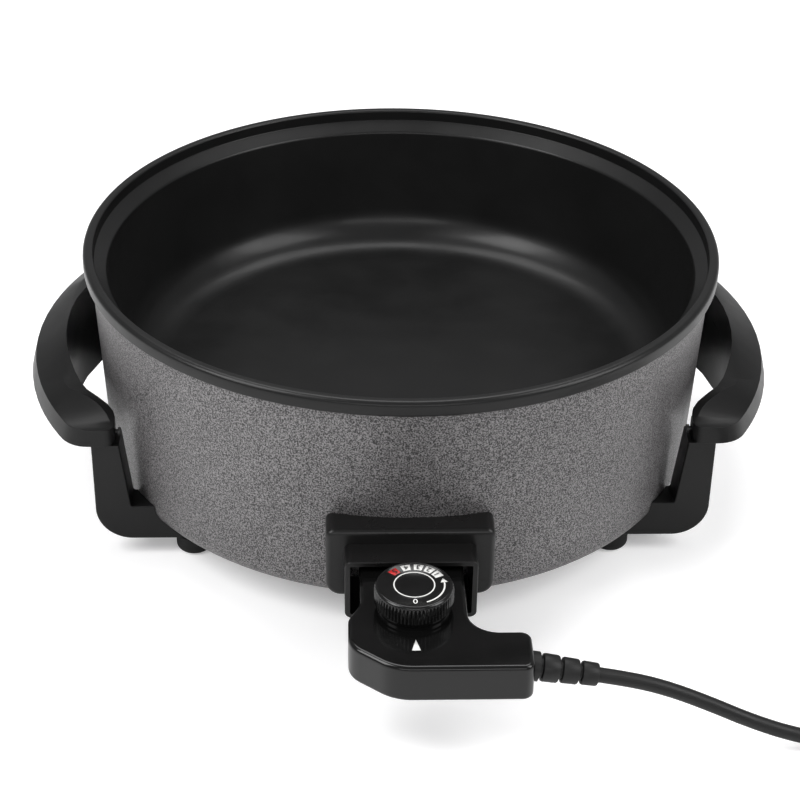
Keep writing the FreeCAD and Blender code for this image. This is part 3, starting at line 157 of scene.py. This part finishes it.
MATERIALS = {
    "nonstick_black": finish_material("nonstick_coating", (0.006, 0.006, 0.006), 1400.0, 0.3, 0.38, 0.12,
                                      coat=0.05, specular=0.24),
    "hammered_grey": hammered_material(),
    "plain_steel": finish_material("plain_steel", (0.5, 0.5, 0.51), 700.0, 0.28, 0.42, 0.08, metallic=1.0),
    "cast_aluminium": finish_material("cast_aluminium", (0.55, 0.55, 0.57), 500.0, 0.4, 0.55, 0.3,
                                      metallic=1.0),
    "white_ceramic": finish_material("white_ceramic", (0.78, 0.76, 0.71), 600.0, 0.25, 0.35, 0.05),
    "handle_black": finish_material("handle_satin", (0.0055, 0.0055, 0.0055), 1500.0, 0.32, 0.4, 0.14,
                                    specular=0.22),
    "foot_black": finish_material("foot_rubber", (0.008, 0.008, 0.008), 1100.0, 0.6, 0.75, 0.2,
                                  specular=0.25),
    "guard_black": finish_material("guard_satin", (0.006, 0.0058, 0.0058), 1500.0, 0.27, 0.36, 0.14,
                                   specular=0.3),
    "case_black": finish_material("case_gloss", (0.0035, 0.0035, 0.0035), 1200.0, 0.1, 0.16, 0.03,
                                  coat=0.15, specular=0.24),
    "dial_black": finish_material("dial_gloss", (0.0045, 0.0045, 0.0045), 1200.0, 0.13, 0.2, 0.03,
                                  coat=0.15, specular=0.28),
    "inner_plastic": finish_material("inner_plastic", (0.07, 0.065, 0.06), 900.0, 0.45, 0.6, 0.15),
    "contact_brass": finish_material("contact_brass", (0.68, 0.5, 0.24), 700.0, 0.25, 0.38, 0.08,
                                     metallic=1.0),
    "cord_black": finish_material("cord_rubber", (0.007, 0.007, 0.007), 1300.0, 0.42, 0.55, 0.15,
                                  specular=0.28),
}
DARK_STEEL = finish_material("blackened_steel", (0.03, 0.03, 0.03), 900.0, 0.4, 0.5, 0.1, metallic=0.6)
WHITE_PRINT = finish_material("white_print", (0.72, 0.72, 0.7), 1300.0, 0.4, 0.5, 0.05)
RED_PRINT = finish_material("red_print", (0.5, 0.02, 0.02), 1300.0, 0.4, 0.5, 0.05)
BLACK_PRINT = finish_material("black_print", (0.01, 0.01, 0.01), 1300.0, 0.4, 0.5, 0.05)


def dress_cad_nodes():
    slots = {entry["node"]: entry["material_slot"] for entry in frame["record"]["subparts"]}
    for name, node in nodes.items():
        node.data.materials.clear()
        node.data.materials.append(DARK_STEEL if name == "handle_screws" else MATERIALS[slots[name]])


def add_piece(name, bm, material, body, smooth_angle=35.0):
    mesh = bpy.data.meshes.new(name)
    bm.to_mesh(mesh)
    bm.free()
    mesh.shade_smooth()
    mesh.set_sharp_from_angle(angle=math.radians(smooth_angle))
    mesh.materials.append(material)
    piece = bpy.data.objects.new(name, mesh)
    bpy.context.scene.collection.objects.link(piece)
    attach(piece, body)
    return piece


def rounded(corners, steps=5):
    """Profile points of (radius, height, rounding) corners, with each rounding as an arc."""
    points = []
    count = len(corners)
    for i, (a, b, rounding) in enumerate(corners):
        here = Vector((a, b))
        if rounding == 0.0:
            points.append(here)
            continue
        back = (Vector(corners[i - 1][:2]) - here)
        ahead = (Vector(corners[(i + 1) % count][:2]) - here)
        half = back.angle(ahead) / 2.0
        back.normalize()
        ahead.normalize()
        middle = (back + ahead).normalized()
        centre = here + middle * (rounding / math.sin(half))
        start = here + back * (rounding / math.tan(half)) - centre
        end = here + ahead * (rounding / math.tan(half)) - centre
        first = math.atan2(start.y, start.x)
        sweep = math.remainder(math.atan2(end.y, end.x) - first, 2.0 * math.pi)
        for k in range(steps + 1):
            angle = first + sweep * k / steps
            points.append(centre + Vector((rounding * math.cos(angle), rounding * math.sin(angle))))
    return points


def lathe(bm, points, centre, segments):
    """Turns a closed profile of (radius, height) points about an upright axis."""
    rings = []
    for radius, height in points:
        if radius < 1e-6:
            rings.append([bm.verts.new((centre[0], centre[1], height))])
            continue
        ring = []
        for i in range(segments):
            angle = 2.0 * math.pi * i / segments
            ring.append(bm.verts.new((centre[0] + radius * math.cos(angle),
                                      centre[1] + radius * math.sin(angle), height)))
        rings.append(ring)
    for low, high in zip(rings, rings[1:] + rings[:1]):
        if len(low) == 1 and len(high) == 1:
            continue
        for i in range(segments):
            j = (i + 1) % segments
            around = [low[i % len(low)], low[j % len(low)], high[j % len(high)], high[i % len(high)]]
            corners = list(dict.fromkeys(around))
            bm.faces.new(corners)
    bmesh.ops.recalc_face_normals(bm, faces=bm.faces)


def build_pan():
    """Pan with a rounded rim, a lid seat, a sloping ledge and a rounded corner at its floor."""
    rim = RIM_TOP
    corners = [
        (0.0, rim - 0.096, 0.0), (0.1775, rim - 0.096, 0.028), (0.1855, rim - 0.0135, 0.003),
        (0.1935, rim - 0.0075, 0.0008), (0.1935, rim, 0.0015), (0.2, rim, 0.003), (0.2, rim - 0.009, 0.001),
        (0.1938, rim - 0.009, 0.0), (0.1938, rim - 0.0105, 0.0), (0.1885, rim - 0.0165, 0.003),
        (0.1805, rim - 0.1, 0.031), (0.0, rim - 0.1, 0.0)]
    bm = bmesh.new()
    lathe(bm, rounded(corners, 8), (0.0, PAN_Y), 256)
    pan = add_piece("pan_bowl", bm, MATERIALS["nonstick_black"], "pan", 40.0)
    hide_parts("inner_pan")


# Plan of a handle, measured from the pan's axis: its outer and inner arcs and its rounded ends
OUTER_ARC = (0.0395, 0.198)
INNER_ARC = (0.0489, 0.1655)
END_REACH = 0.1125
END_CORNER = 0.02
END_INNER = 0.176
END_INNER_CORNER = 0.006
LIP_BOTTOM = 0.081
LIP_HEIGHT = 0.0115
LIP_LEAN = 0.003
STATIONS = [0.0, 0.015, 0.03, 0.045, 0.058, 0.068, 0.076, 0.083, 0.089, 0.0945, 0.099, 0.1028, 0.1055, 0.1078,
            0.1095, 0.1108, 0.1117, 0.1123, END_REACH]
# Wall under a handle's inner edge: its thickness, its gap, and its foot as (distance along Y, height)
INNER_WALL = 0.004
INNER_WALL_GAP = 0.0004
INNER_WALL_FOOT = [(-0.078, 0.0805), (-0.062, 0.056), (-0.04, 0.0465), (-0.015, 0.043),
                   (0.01, 0.0405), (0.04, 0.038), (0.065, 0.037), (0.0915, 0.037)]


def ease(value, low, high):
    share = min(max((value - low) / (high - low), 0.0), 1.0)
    return share * share * (3.0 - 2.0 * share)


def handle_section(along):
    """Section of the right handle at a distance along Y, as (x, z) points from its inner foot outwards."""
    reach = abs(along)
    corner = END_REACH - END_CORNER
    corner_x = OUTER_ARC[0] + math.sqrt((OUTER_ARC[1] - END_CORNER) ** 2 - corner ** 2)
    if reach < corner * OUTER_ARC[1] / (OUTER_ARC[1] - END_CORNER):
        outer = OUTER_ARC[0] + math.sqrt(OUTER_ARC[1] ** 2 - reach ** 2)
    else:
        outer = corner_x + math.sqrt(max(END_CORNER ** 2 - (reach - corner) ** 2, 0.0))
    arc = INNER_ARC[0] + math.sqrt(INNER_ARC[1] ** 2 - reach ** 2)
    inner = arc + (END_INNER - arc) * ease(reach, 0.072, 0.102)
    past = reach - END_REACH + END_INNER_CORNER
    if past > 0.0:
        inner = END_INNER + END_INNER_CORNER - math.sqrt(max(END_INNER_CORNER ** 2 - past ** 2, 0.0))
    lip = outer - LIP_LEAN
    lip_top = LIP_BOTTOM + LIP_HEIGHT
    fall = 1.0 - ease(reach, 0.072, END_REACH)
    width = 0.0006 + 0.0105 * ease(reach, 0.0, 0.085) - 0.009 * ease(reach, 0.085, 0.108)
    crease = inner + width
    crease_z = lip_top + 0.62 * (lip - crease) * fall
    inner_z = lip_top + (0.0125 - 0.0055 * ease(reach, 0.02, 0.09)) * fall
    return [(inner, LIP_BOTTOM), (outer, LIP_BOTTOM), (lip, lip_top), (crease, crease_z), (inner, inner_z)]


def loft(bm, sections):
    """Joins closed sections of 3-D points and closes both ends."""
    rings = [[bm.verts.new(p) for p in section] for section in sections]
    for low, high in zip(rings, rings[1:]):
        for i in range(len(low)):
            j = (i + 1) % len(low)
            bm.faces.new((low[i], low[j], high[j], high[i]))
    bm.faces.new(rings[0])
    bm.faces.new(rings[-1])
    bmesh.ops.recalc_face_normals(bm, faces=bm.faces)


def soften(piece, width, segments=3, angle=28.0):
    bevel = piece.modifiers.new("soft_edges", "BEVEL")
    bevel.width = width
    bevel.segments = segments
    bevel.limit_method = "ANGLE"
    bevel.angle_limit = math.radians(angle)
    bevel.harden_normals = True


def thicken_print(piece):
    """Gives a flat printed mark its small depth."""
    depth = piece.modifiers.new("print_depth", "SOLIDIFY")
    depth.thickness = PRINT_DEPTH
    depth.offset = 0.0


def build_handle(side, name):
    """A grip with a low outer lip and a sloping top, and the tall wall under its inner edge."""
    ends = [-y for y in reversed(STATIONS[1:])] + STATIONS
    bm = bmesh.new()
    loft(bm, [[(side * x, y + PAN_Y, z) for x, z in handle_section(y)] for y in ends])
    grip = add_piece("grip_" + name, bm, MATERIALS["handle_black"], "pan", 30.0)
    soften(grip, 0.0014)
    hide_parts("handle_" + name)
    high = LIP_BOTTOM + INNER_WALL
    sections = []
    for y, low in INNER_WALL_FOOT:
        inner = INNER_ARC[0] + math.sqrt(INNER_ARC[1] ** 2 - y ** 2) + INNER_WALL_GAP
        outline = ((inner, low), (inner + INNER_WALL, low), (inner + INNER_WALL, high), (inner, high))
        sections.append([(side * x, y + PAN_Y, z) for x, z in outline])
    bm = bmesh.new()
    loft(bm, sections)
    skirt = add_piece("inner_wall_" + name, bm, MATERIALS["handle_black"], "pan", 30.0)
    soften(skirt, 0.0007, 2)
    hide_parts("handle_wall_" + name)


def polar(radius, degrees, height):
    """A place on the dial: degrees run anticlockwise from the front, seen from above."""
    angle = math.radians(degrees)
    return (radius * math.sin(angle), DIAL_Y - radius * math.cos(angle), height)


def band_piece(name, inner, outer, start, end, height, material):
    """A thin printed band between two radii and two angles."""
    steps = max(int(abs(end - start) / 3.0), 2)
    full = abs(end - start) >= 359.9
    bm = bmesh.new()
    sections = []
    for k in range(steps if full else steps + 1):
        degrees = start + (end - start) * k / steps
        sections.append([bm.verts.new(polar(radius, degrees, height)) for radius in (inner, outer)])
    pairs = list(zip(sections, sections[1:]))
    if full:
        pairs.append((sections[-1], sections[0]))
    for (a, b), (c, d) in pairs:
        bm.faces.new((a, b, d, c))
    bmesh.ops.recalc_face_normals(bm, faces=bm.faces)
    piece = add_piece(name, bm, material, "dial")
    thicken_print(piece)


def printed_digit(name, digit, radius, degrees, size, material):
    """A digit on the dial whose top points to the middle."""
    text = bpy.data.curves.new(name, "FONT")
    text.body = digit
    text.size = size
    text.align_x = "CENTER"
    text.align_y = "CENTER"
    text.extrude = 0.00006
    text.materials.append(material)
    piece = bpy.data.objects.new(name, text)
    bpy.context.scene.collection.objects.link(piece)
    piece.location = polar(radius, degrees, DIAL_TOP + PRINT_RAISE * 1.7)
    piece.rotation_euler = (0.0, 0.0, math.radians(degrees))
    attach(piece, "dial")


def dial_loop(bm, radius_at, height, steps):
    """A closed loop of points round the dial's axis, whose radius is a function of the angle."""
    loop = []
    for i in range(steps):
        angle = 2.0 * math.pi * i / steps
        radius = radius_at(angle)
        loop.append(bm.verts.new((radius * math.cos(angle), DIAL_Y + radius * math.sin(angle), height)))
    return loop


def build_dial():
    """Knob with a ribbed skirt, a smooth shoulder and a shallow rimmed top, and its printed scale."""
    ribs = 64
    rib_depth = 0.0009
    steps = ribs * 4
    top = DIAL_TOP
    low = top - 0.0116
    rows = [(-0.0042, low, 0.0), (-0.0006, low, 0.0), (0.0, low + 0.0006, 1.0),
            (0.0, top - 0.0024, 1.0), (-0.0005, top - 0.0017, 0.15), (-0.0007, top - 0.0009, 0.0),
            (-0.0014, top - 0.0003, 0.0), (-0.002, top, 0.0), (-0.0027, top - 0.00005, 0.0),
            (-0.0031, top - 0.0004, 0.0)]
    bm = bmesh.new()
    rings = []
    for inset, height, depth in rows:
        def ribbed(angle):
            return DIAL_RADIUS - 0.0012 + inset - depth * rib_depth * (0.5 + 0.5 * math.cos(ribs * angle))
        rings.append(dial_loop(bm, ribbed, height, steps))
    for a, b in zip(rings, rings[1:]):
        for i in range(steps):
            j = (i + 1) % steps
            bm.faces.new((a[i], a[j], b[j], b[i]))
    bm.faces.new(rings[-1])
    room = []
    for radius, height in ((DIAL_RADIUS - 0.0054, top - 0.003), (0.0065, top - 0.003), (0.0065, low)):
        room.append(dial_loop(bm, lambda angle: radius, height, steps))
    for a, b in zip([rings[0]] + room, room):
        for i in range(steps):
            j = (i + 1) % steps
            bm.faces.new((a[i], b[i], b[j], a[j]))
    bm.faces.new(room[-1])
    bmesh.ops.recalc_face_normals(bm, faces=bm.faces)
    knob = add_piece("dial_knob", bm, MATERIALS["dial_black"], "dial", 50.0)
    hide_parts("dial")
    face = top - 0.0004 + PRINT_RAISE
    digit_radius = 0.0157
    band_piece("dial_ring", 0.0108, 0.0115, 0.0, 360.0, face, WHITE_PRINT)
    for digit, degrees in (("1", 125.0), ("2", 147.0), ("3", 170.0), ("4", 195.0), ("5", 222.0)):
        paper = RED_PRINT if digit == "5" else WHITE_PRINT
        band_piece("dial_window_" + digit, 0.0133, 0.0182, degrees - 9.0, degrees + 9.0, face, paper)
        printed_digit("dial_digit_" + digit, digit, digit_radius, degrees, 0.005, BLACK_PRINT)
    printed_digit("dial_digit_0", "0", digit_radius, 0.0, 0.0056, WHITE_PRINT)
    band_piece("dial_arrow_arc", 0.0162, 0.0171, 22.0, 98.0, face, WHITE_PRINT)
    bm = bmesh.new()
    tip = [polar(0.0167, 109.0, face), polar(0.0146, 97.0, face), polar(0.0187, 97.0, face)]
    bm.faces.new([bm.verts.new(p) for p in tip])
    head = add_piece("dial_arrow_head", bm, WHITE_PRINT, "dial")
    thicken_print(head)


def build_pointer():
    """Printed triangle on the case that points at the dial."""
    height = CASE_TOP + PRINT_RAISE
    middle = -0.2878 + PAN_Y
    bm = bmesh.new()
    half_length = 0.0046
    half_width = 0.0024
    corners = ((0.0, half_length), (-half_width, -half_length), (half_width, -half_length))
    bm.faces.new([bm.verts.new((x, middle + y, height)) for x, y in corners])
    pointer = add_piece("pointer_mark", bm, WHITE_PRINT, "controller")
    thicken_print(pointer)


def build_relief():
    """Tapered sleeve with deep slots between its rings, about the first stretch of the cord."""
    start = Vector((0.063, -0.292 + PAN_Y, 0.0565))
    end = Vector((0.0984, -0.292 + PAN_Y, 0.0499))
    length = (end - start).length
    rings = 3
    pitch = (length - 0.003) / rings
    outline = [(0.0044, -0.002), (0.0082, -0.002), (0.0082, 0.003)]
    for k in range(rings):
        at = 0.003 + pitch * k
        radius = 0.0084 - 0.0018 * (k + 1) / rings
        outline += [(radius - 0.0021, at + 0.0003), (radius - 0.0021, at + pitch * 0.16),
                    (radius - 0.0003, at + pitch * 0.2), (radius, at + pitch * 0.27),
                    (radius - 0.0002, at + pitch * 0.94), (radius - 0.0006, at + pitch)]
    outline.append((0.0044, length))
    bm = bmesh.new()
    lathe(bm, outline, (0.0, 0.0), 40)
    turn = Vector((0.0, 0.0, 1.0)).rotation_difference(end - start).to_matrix().to_4x4()
    bm.transform(Matrix.Translation(start) @ turn)
    sleeve = add_piece("cord_sleeve", bm, MATERIALS["cord_black"], "controller", 30.0)
    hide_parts("strain_relief")


# Coil of the cord: its middle, outer radius, step between turns and between layers
COIL_CENTRE = (0.3, -0.244)
COIL_OUTER = 0.055
COIL_STEP = 0.0092
COIL_TURNS = 1.875
COIL_LOW = 0.00515


def coil_point(turns):
    """Place on the coil: in along the lower layer, up in half a turn, and out along the upper one."""
    inner = COIL_OUTER - COIL_STEP * COIL_TURNS
    if turns <= COIL_TURNS:
        radius = COIL_OUTER - COIL_STEP * turns
        height = COIL_LOW
    elif turns <= COIL_TURNS + 0.5:
        share = (turns - COIL_TURNS) / 0.5
        radius = inner - COIL_STEP * 0.5 * share * (1.0 - share)
        height = COIL_LOW + COIL_STEP * share * share * (3.0 - 2.0 * share)
    else:
        radius = inner + COIL_STEP * (turns - COIL_TURNS - 0.5)
        height = COIL_LOW + COIL_STEP
    angle = 2.0 * math.pi * turns - math.pi / 2.0
    along = COIL_CENTRE[0] + radius * math.cos(angle)
    across = COIL_CENTRE[1] + PAN_Y + radius * math.sin(angle)
    return Vector((along, across, height))


def build_cord():
    """The cord's route: from the strain relief down to the surface, round the coil and out to the plug."""
    route = [(0.0984, -0.292, 0.0499), (0.119, -0.292, 0.0459), (0.141, -0.2926, 0.0388),
             (0.163, -0.2935, 0.0289), (0.184, -0.2945, 0.0186), (0.206, -0.296, 0.0104),
             (0.228, -0.2978, 0.006), (0.2485, -0.2993, 0.0045), (0.2695, -0.2998, 0.00515)]
    points = [Vector((x, y + PAN_Y, z)) for x, y, z in route]
    total = 2.0 * COIL_TURNS + 0.5
    steps = int(total * 16)
    points += [coil_point(total * k / steps) for k in range(steps + 1)]
    leave = (points[-1] - points[-2]).normalized()
    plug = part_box("plug_body")
    end = Vector(((plug[0].x + plug[1].x) / 2.0, plug[0].y, (plug[0].z + plug[1].z) / 2.0))
    points += [points[-1] + leave * 0.0085, points[-1] + leave * 0.024, end - Vector((0.0, 0.02, 0.0)), end]
    line = bpy.data.curves.new("cord_line", "CURVE")
    line.dimensions = "3D"
    line.bevel_depth = CORD_DIAMETER / 2.0
    line.bevel_resolution = 6
    line.resolution_u = 8
    line.use_fill_caps = True
    spline = line.splines.new("NURBS")
    spline.points.add(len(points) - 1)
    for target, place in zip(spline.points, points):
        target.co = (*place, 1.0)
    spline.order_u = 3
    spline.use_endpoint_u = True
    line.materials.append(MATERIALS["cord_black"])
    cord = bpy.data.objects.new("mains_cord", line)
    bpy.context.scene.collection.objects.link(cord)
    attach(cord, "controller")
    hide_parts("cord", "cord_coil", "cord_tail")


def build_camera():
    camera = bpy.data.cameras.new("camera")
    camera.lens = 90.0
    camera.sensor_width = 36.0
    rig = bpy.data.objects.new("camera", camera)
    bpy.context.scene.collection.objects.link(rig)
    roll = math.radians(0.97)
    right = Vector((0.99915, -0.04118, 0.0))
    up = Vector((0.02186, 0.5304, 0.8474))
    forward = Vector((0.0349, 0.8467, -0.5309))
    turned_right = right * math.cos(roll) + up * math.sin(roll)
    turned_up = up * math.cos(roll) - right * math.sin(roll)
    place = Vector((-0.0455, -1.1271 + PAN_Y, 0.7497))
    rotation = Matrix((turned_right, turned_up, -forward)).transposed()
    rig.matrix_world = Matrix.Translation(place) @ rotation.to_4x4()
    bpy.context.scene.camera = rig


def build_stage():
    floor_mesh = bpy.data.meshes.new("floor")
    bm = bmesh.new()
    reach = 6.0
    corners = ((-reach, -reach), (reach, -reach), (reach, reach), (-reach, reach))
    bm.faces.new([bm.verts.new((x, y, 0.0)) for x, y in corners])
    bm.to_mesh(floor_mesh)
    bm.free()
    floor = bpy.data.objects.new("floor", floor_mesh)
    bpy.context.scene.collection.objects.link(floor)
    material = bpy.data.materials.new("floor")
    material.use_nodes = True
    nt = material.node_tree
    shader = nt.nodes["Principled BSDF"]
    shader.inputs["Base Color"].default_value = (0.95, 0.95, 0.95, 1.0)
    shader.inputs["Roughness"].default_value = 0.35
    shader.inputs["Emission Color"].default_value = (1.0, 0.99, 1.0, 1.0)
    seen = nt.nodes.new("ShaderNodeLightPath")
    lift = nt.nodes.new("ShaderNodeMath")
    lift.operation = "MULTIPLY"
    lift.inputs[1].default_value = 0.26
    nt.links.new(seen.outputs["Is Camera Ray"], lift.inputs[0])
    nt.links.new(lift.outputs["Value"], shader.inputs["Emission Strength"])
    floor_mesh.materials.append(material)
    world = bpy.data.worlds.new("studio")
    bpy.context.scene.world = world
    world.use_nodes = True
    wt = world.node_tree
    light = wt.nodes["Background"]
    light.inputs["Color"].default_value = (0.95, 0.95, 0.96, 1.0)
    light.inputs["Strength"].default_value = 0.38
    white = wt.nodes.new("ShaderNodeBackground")
    white.inputs["Color"].default_value = (1.0, 1.0, 1.0, 1.0)
    white.inputs["Strength"].default_value = 1.0
    rays = wt.nodes.new("ShaderNodeLightPath")
    mix = wt.nodes.new("ShaderNodeMixShader")
    wt.links.new(rays.outputs["Is Camera Ray"], mix.inputs["Fac"])
    wt.links.new(light.outputs["Background"], mix.inputs[1])
    wt.links.new(white.outputs["Background"], mix.inputs[2])
    wt.links.new(mix.outputs["Shader"], wt.nodes["World Output"].inputs["Surface"])


def area_light(name, place, target, size, power):
    lamp = bpy.data.lights.new(name, "AREA")
    lamp.shape = "RECTANGLE"
    lamp.size = size[0]
    lamp.size_y = size[1]
    lamp.energy = power
    rig = bpy.data.objects.new(name, lamp)
    bpy.context.scene.collection.objects.link(rig)
    rig.location = place
    rig.rotation_euler = (Vector(target) - Vector(place)).to_track_quat("-Z", "Y").to_euler()


bpy.context.scene.view_settings.view_transform = "Standard"
dress_cad_nodes()
build_camera()
build_stage()
build_cord()
build_pan()
build_handle(1.0, "right")
build_handle(-1.0, "left")
build_dial()
build_pointer()
build_relief()
area_light("key", (-1.1, -0.5, 1.3), (0.0, 0.0, 0.05), (0.7, 1.1), 20.0)
area_light("fill", (1.2, -0.5, 1.1), (0.0, 0.0, 0.05), (0.7, 1.1), 15.0)
area_light("top", (0.0, 0.6, 1.6), (0.0, 0.0, 0.05), (1.5, 0.7), 16.0)
area_light("front", (0.0, -1.8, 0.9), (0.0, -0.1, 0.06), (1.6, 0.4), 7.0)
